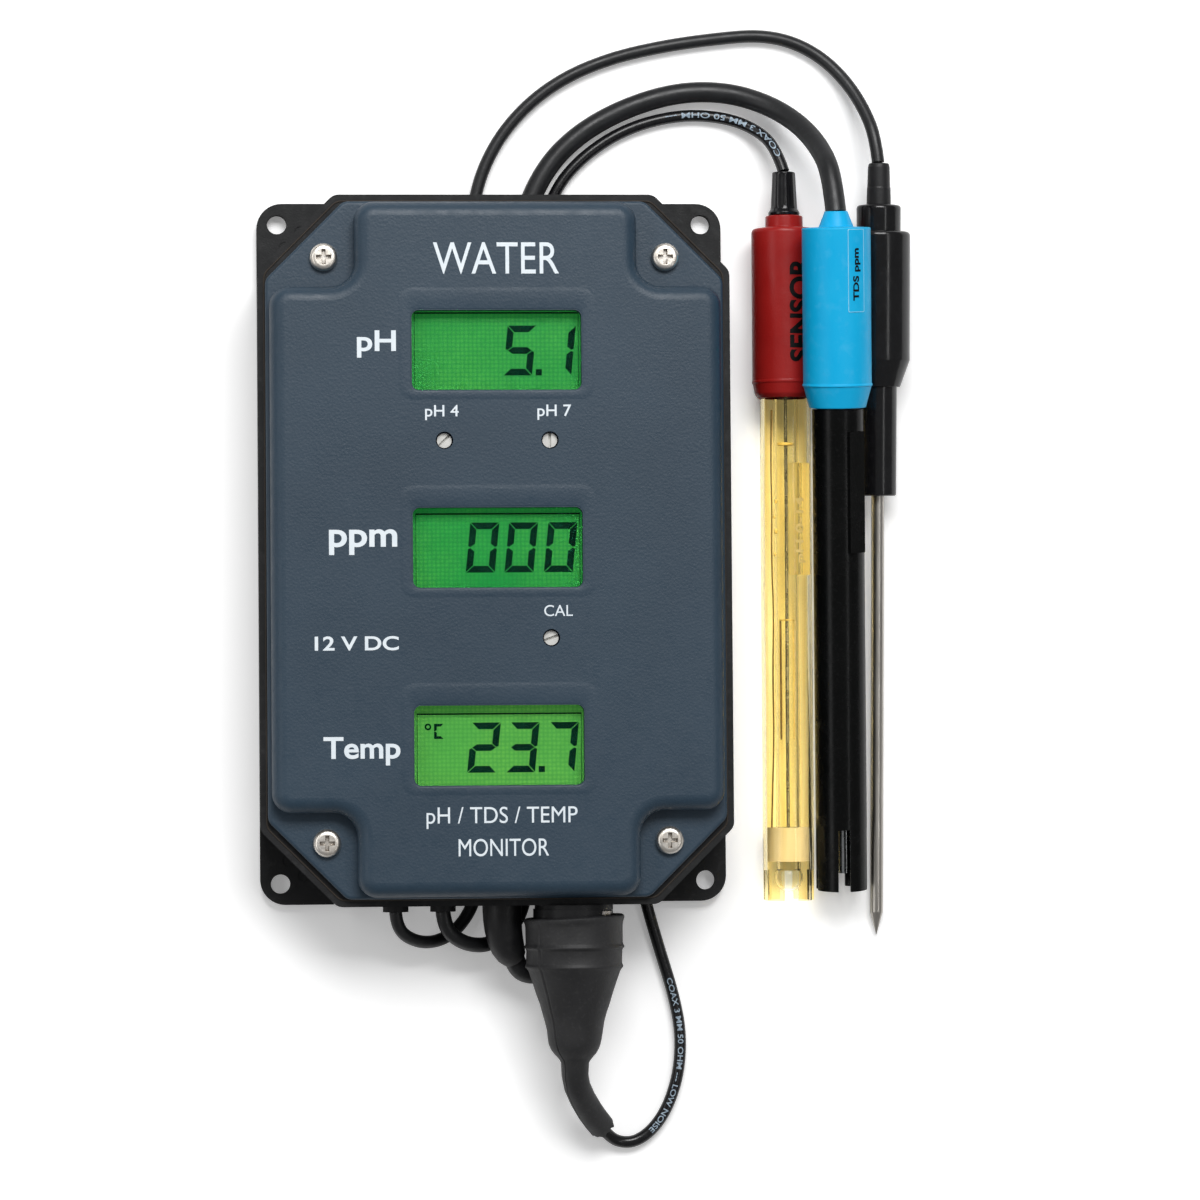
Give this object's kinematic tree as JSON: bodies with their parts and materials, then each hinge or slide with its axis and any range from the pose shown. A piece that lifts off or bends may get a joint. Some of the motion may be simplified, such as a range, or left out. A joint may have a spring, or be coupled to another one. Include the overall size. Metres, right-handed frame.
{
  "type": "water quality probe set",
  "caption": "Wall-mount water monitor with three lit displays, trimmers under its front, and pH, dissolved-solids and temperature probes on cables that run behind it.",
  "frame": {"origin": "middle of the four wall screw holes, in the plane of the case's back", "axes": "+Z out of the front of the case, +Y to the top of the case, +X to the right; the object lies on its back on z = 0"},
  "size_m": [0.1495, 0.2567, 0.031],
  "materials": {
    "case_black": "fine spark-eroded moulding texture",
    "cover_slate": "fine leather-like moulding texture",
    "seal_rubber": "smooth",
    "screw_nickel": "nickel plated",
    "board_green": "solder mask",
    "chip_black": "moulded",
    "header_white": "moulded",
    "cord_black": "smooth jacket",
    "gland_black": "moulded",
    "relief_rubber": "moulded",
    "relief_gloss": "gloss",
    "jack_nickel": "nickel plated",
    "washer_black": "moulded",
    "insulator_white": "turned",
    "contact_brass": "plated",
    "sleeve_nickel": "dark nickel",
    "boot_rubber": "dusty soft rubber",
    "ph_red": "satin gloss",
    "ph_amber": "transparent amber plastic",
    "stem_glass": "clear glass",
    "junction_cream": "porous",
    "wire_silver": "drawn wire",
    "tds_blue": "satin",
    "tds_black": "gloss",
    "core_black": "moulded",
    "electrode_steel": "ground",
    "handle_black": "satin gloss",
    "needle_steel": "drawn tube",
    "window_clear": "clear",
    "display_green": "lit liquid crystal cell",
    "backlight_white": "diffuser",
    "trimmer_blue": "moulded",
    "rotor_white": "machined"
  },
  "bodies": {
    "monitor": {"board_chips": "chip_black", "board_screws": "screw_nickel", "cable_headers": "header_white", "case_seal": "seal_rubber", "cover_screws": "screw_nickel", "front_cover": "cover_slate", "inner_leads": "cord_black", "jack_body": "jack_nickel", "jack_contact": "contact_brass", "jack_insulator": "insulator_white", "jack_nut": "jack_nickel", "jack_washer": "washer_black", "main_board": "board_green", "ph4_trimmer": "trimmer_blue", "ph7_trimmer": "trimmer_blue", "ph_backlight": "backlight_white", "ph_cord": "cord_black", "ph_display": "display_green", "ph_glass_stem": "stem_glass", "ph_junction": "junction_cream", "ph_probe_body": "ph_amber", "ph_probe_cap": "ph_red", "ph_probe_relief": "relief_gloss", "ph_silver_wire": "wire_silver", "ph_window": "window_clear", "plug_body": "jack_nickel", "plug_insulator": "insulator_white", "plug_pin": "contact_brass", "power_cord": "cord_black", "power_gland": "gland_black", "power_socket": "header_white", "rear_case": "case_black", "rubber_boot": "boot_rubber", "tds_backlight": "backlight_white", "tds_cord": "cord_black", "tds_display": "display_green", "tds_electrodes": "electrode_steel", "tds_probe_cap": "tds_blue", "tds_probe_core": "core_black", "tds_relief": "relief_rubber", "tds_trimmer": "trimmer_blue", "tds_window": "window_clear", "temp_backlight": "backlight_white", "temp_cord": "cord_black", "temp_display": "display_green", "temp_gland": "gland_black", "temp_probe_collar": "handle_black", "temp_probe_handle": "handle_black", "temp_probe_needle": "needle_steel", "temp_probe_relief": "relief_rubber", "temp_sensor": "chip_black", "temp_window": "window_clear"},
    "ph4_rotor": {"ph4_rotor": "rotor_white"},
    "ph7_rotor": {"ph7_rotor": "rotor_white"},
    "plug_sleeve": {"plug_sleeve": "sleeve_nickel"},
    "tds_rotor": {"tds_rotor": "rotor_white"},
    "tds_sleeve": {"tds_sleeve": "tds_black"}
  },
  "joints": [
    {"name": "ph4_trim", "type": "hinge", "parent": "monitor", "child": "ph4_rotor", "pos_m": [-0.0118, 0.0241, 0.027], "axis": [0, 0, 1], "range_deg": [-135, 135]},
    {"name": "ph7_trim", "type": "hinge", "parent": "monitor", "child": "ph7_rotor", "pos_m": [0.0118, 0.0241, 0.027], "axis": [0, 0, 1], "range_deg": [-135, 135]},
    {"name": "tds_trim", "type": "hinge", "parent": "monitor", "child": "tds_rotor", "pos_m": [0.0118, -0.0201, 0.027], "axis": [0, 0, 1], "range_deg": [-135, 135]},
    {"name": "plug_lock", "type": "hinge", "parent": "monitor", "child": "plug_sleeve", "pos_m": [0.0173, -0.092, 0.0166], "axis": [0, 1, 0], "range_deg": [0, 90]},
    {"name": "sleeve_pull", "type": "slide", "parent": "monitor", "child": "tds_sleeve", "axis": [0.0129, -0.9939, -0.1093], "range_m": [0, 0.02]}
  ]
}
